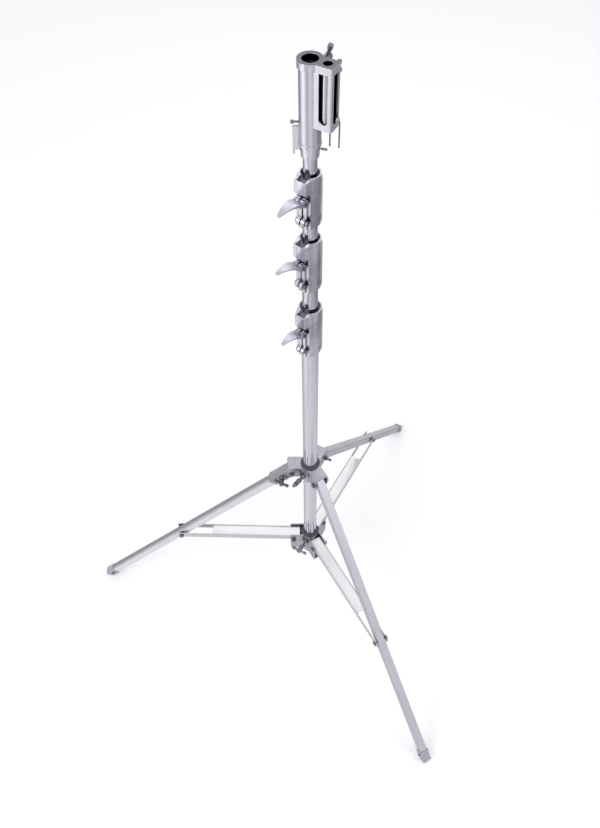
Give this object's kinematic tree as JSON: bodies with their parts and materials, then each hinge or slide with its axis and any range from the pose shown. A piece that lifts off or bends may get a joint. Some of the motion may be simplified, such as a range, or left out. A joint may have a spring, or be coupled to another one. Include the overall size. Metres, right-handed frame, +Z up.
{
  "type": "lighting stand",
  "caption": "Folding steel lighting stand: three-section telescoping mast, flip-lever collars, braced tripod legs and a head with two pin sockets.",
  "frame": {"origin": "on the column's axis at floor level", "axes": "+Z up the column; the levelling leg points along -X, the other two at 60 degrees to either side of +X"},
  "size_m": [1.1608, 1.3394, 2.012],
  "materials": {
    "tube_steel": "bright chromed steel tube, fine lengthwise polish lines",
    "leg_steel": "satin chromed square steel tube",
    "brace_steel": "bright zinc plated folded sheet steel",
    "hub_steel": "plated cast steel",
    "cast_collar": "plated casting, softly rough",
    "lever_alloy": "satin cast alloy",
    "head_chrome": "polished chromed steel",
    "dark_nylon": "moulded nylon",
    "foot_plastic": "grey moulded end cap",
    "fastener_steel": "zinc plated steel"
  },
  "bodies": {
    "column": {"column_tube": "tube_steel", "column_end_plug": "dark_nylon", "lower_hub": "hub_steel", "brace_pivot_bolts": "fastener_steel", "lower_collar_body": "cast_collar", "lower_collar_bush": "dark_nylon", "lower_collar_lever_pin": "fastener_steel", "lower_collar_fasteners": "fastener_steel"},
    "riser_lower": {"riser_lower_tube": "tube_steel", "riser_lower_guide": "dark_nylon", "middle_collar_body": "cast_collar", "middle_collar_bush": "dark_nylon", "middle_collar_lever_pin": "fastener_steel", "middle_collar_fasteners": "fastener_steel"},
    "riser_middle": {"riser_middle_tube": "tube_steel", "riser_middle_guide": "dark_nylon", "upper_collar_body": "cast_collar", "upper_collar_bush": "dark_nylon", "upper_collar_lever_pin": "fastener_steel", "upper_collar_fasteners": "fastener_steel"},
    "riser_top": {"riser_top_tube": "tube_steel", "riser_top_guide": "dark_nylon", "junior_socket": "head_chrome", "head_top_plate": "head_chrome", "baby_bracket": "head_chrome", "baby_socket_tube": "head_chrome", "head_fasteners": "fastener_steel"},
    "lower_lever": {"lower_collar_lever": "lever_alloy"},
    "middle_lever": {"middle_collar_lever": "lever_alloy"},
    "upper_lever": {"upper_collar_lever": "lever_alloy"},
    "upper_hub": {"upper_hub": "hub_steel", "upper_hub_bush": "dark_nylon", "leg_pivot_bolts": "fastener_steel"},
    "hub_lock": {"hub_lock_screw": "fastener_steel", "hub_lock_bar": "fastener_steel"},
    "lower_hub_lock": {"lower_hub_screw": "fastener_steel", "lower_hub_bar": "fastener_steel"},
    "levelling_sleeve": {"levelling_sleeve": "hub_steel"},
    "levelling_lock": {"levelling_screw": "fastener_steel", "levelling_bar": "fastener_steel"},
    "leg_left": {"leg_left_tube": "leg_steel", "leg_left_foot": "foot_plastic", "leg_left_foot_bolt": "fastener_steel"},
    "leg_rear": {"leg_rear_tube": "leg_steel", "leg_rear_foot": "foot_plastic", "leg_rear_foot_bolt": "fastener_steel"},
    "leg_front": {"leg_front_tube": "leg_steel", "leg_front_foot": "foot_plastic", "leg_front_foot_bolt": "fastener_steel"},
    "brace_left": {"brace_left_channel": "brace_steel", "brace_left_stub_bolts": "fastener_steel"},
    "brace_rear": {"brace_rear_channel": "brace_steel", "brace_rear_stub_bolts": "fastener_steel"},
    "brace_front": {"brace_front_channel": "brace_steel", "brace_front_stub_bolts": "fastener_steel"},
    "socket_lock": {"socket_t_screw": "fastener_steel"},
    "baby_lock": {"baby_t_screw": "fastener_steel"},
    "bail": {"bail_wire": "fastener_steel"}
  },
  "joints": [
    {"name": "riser_lower_slide", "type": "slide", "parent": "column", "child": "riser_lower", "axis": [0, 0, 1], "range_m": [0, 0.85]},
    {"name": "riser_middle_slide", "type": "slide", "parent": "riser_lower", "child": "riser_middle", "axis": [0, 0, 1], "range_m": [0, 0.85]},
    {"name": "riser_top_slide", "type": "slide", "parent": "riser_middle", "child": "riser_top", "axis": [0, 0, 1], "range_m": [0, 0.85]},
    {"name": "hub_slide", "type": "slide", "parent": "column", "child": "upper_hub", "axis": [0, 0, 1], "range_m": [0, 0.50599]},
    {"name": "leg_left_hinge", "type": "hinge", "parent": "upper_hub", "child": "levelling_sleeve", "pos_m": [-0.055, 0, 0.757], "axis": [0, -1, 0], "range_deg": [0, 38.2]},
    {"name": "brace_left_hinge", "type": "hinge", "parent": "column", "child": "brace_left", "pos_m": [-0.056, 0, 0.33], "axis": [0, 1, 0], "range_deg": [0, 80.2]},
    {"name": "leg_rear_hinge", "type": "hinge", "parent": "upper_hub", "child": "leg_rear", "pos_m": [0.0275, 0.04763, 0.757], "axis": [-0.866, 0.5, 0], "range_deg": [0, 38.2]},
    {"name": "brace_rear_hinge", "type": "hinge", "parent": "column", "child": "brace_rear", "pos_m": [0.028, 0.0485, 0.33], "axis": [0.866, -0.5, 0], "range_deg": [0, 80.2]},
    {"name": "leg_front_hinge", "type": "hinge", "parent": "upper_hub", "child": "leg_front", "pos_m": [0.0275, -0.04763, 0.757], "axis": [0.866, 0.5, 0], "range_deg": [0, 38.2]},
    {"name": "brace_front_hinge", "type": "hinge", "parent": "column", "child": "brace_front", "pos_m": [0.028, -0.0485, 0.33], "axis": [-0.866, -0.5, 0], "range_deg": [0, 80.2]},
    {"name": "levelling_slide", "type": "slide", "parent": "levelling_sleeve", "child": "leg_left", "axis": [-0.6821, 0, -0.7312], "range_m": [0, 0.06]},
    {"name": "lower_lever_hinge", "type": "hinge", "parent": "column", "child": "lower_lever", "pos_m": [-0.02122, -0.03031, 1.3912], "axis": [0.8192, -0.5736, 0], "range_deg": [0, 95]},
    {"name": "middle_lever_hinge", "type": "hinge", "parent": "riser_lower", "child": "middle_lever", "pos_m": [-0.02185, -0.02605, 1.5922], "axis": [0.766, -0.6428, 0], "range_deg": [0, 95]},
    {"name": "upper_lever_hinge", "type": "hinge", "parent": "riser_middle", "child": "upper_lever", "pos_m": [-0.01743, -0.02684, 1.752], "axis": [0.8387, -0.5446, 0], "range_deg": [0, 86]},
    {"name": "hub_lock_turn", "type": "hinge", "parent": "upper_hub", "child": "hub_lock", "pos_m": [-0.02892, -0.03447, 0.752], "axis": [-0.6428, -0.766, 0], "range_deg": [0, 270]},
    {"name": "lower_hub_lock_turn", "type": "hinge", "parent": "column", "child": "lower_hub_lock", "pos_m": [-0.02318, -0.03857, 0.322], "axis": [-0.515, -0.8572, 0], "range_deg": [0, 270]},
    {"name": "levelling_lock_turn", "type": "hinge", "parent": "levelling_sleeve", "child": "levelling_lock", "pos_m": [-0.08501, 0, 0.72483], "axis": [0, -1, 0], "range_deg": [0, 270]},
    {"name": "socket_lock_turn", "type": "hinge", "parent": "riser_top", "child": "socket_lock", "pos_m": [0.01454, 0.02624, 1.985], "axis": [0.4848, 0.8746, 0], "range_deg": [0, 270]},
    {"name": "baby_lock_turn", "type": "hinge", "parent": "riser_top", "child": "baby_lock", "pos_m": [0.02781, -0.01542, 1.982], "axis": [0.4848, 0.8746, 0], "range_deg": [0, 270]},
    {"name": "bail_swing", "type": "hinge", "parent": "riser_top", "child": "bail", "pos_m": [0.03324, -0.01842, 1.9045], "axis": [0.4848, 0.8746, 0], "range_deg": [-60, 6]}
  ],
  "couplings": [
    {"joint": "leg_left_hinge", "follows": "hub_slide", "rad_per_m": 1.3111},
    {"joint": "brace_left_hinge", "follows": "hub_slide", "rad_per_m": 2.7574},
    {"joint": "leg_rear_hinge", "follows": "hub_slide", "rad_per_m": 1.3111},
    {"joint": "brace_rear_hinge", "follows": "hub_slide", "rad_per_m": 2.7574},
    {"joint": "leg_front_hinge", "follows": "hub_slide", "rad_per_m": 1.3111},
    {"joint": "brace_front_hinge", "follows": "hub_slide", "rad_per_m": 2.7574}
  ]
}
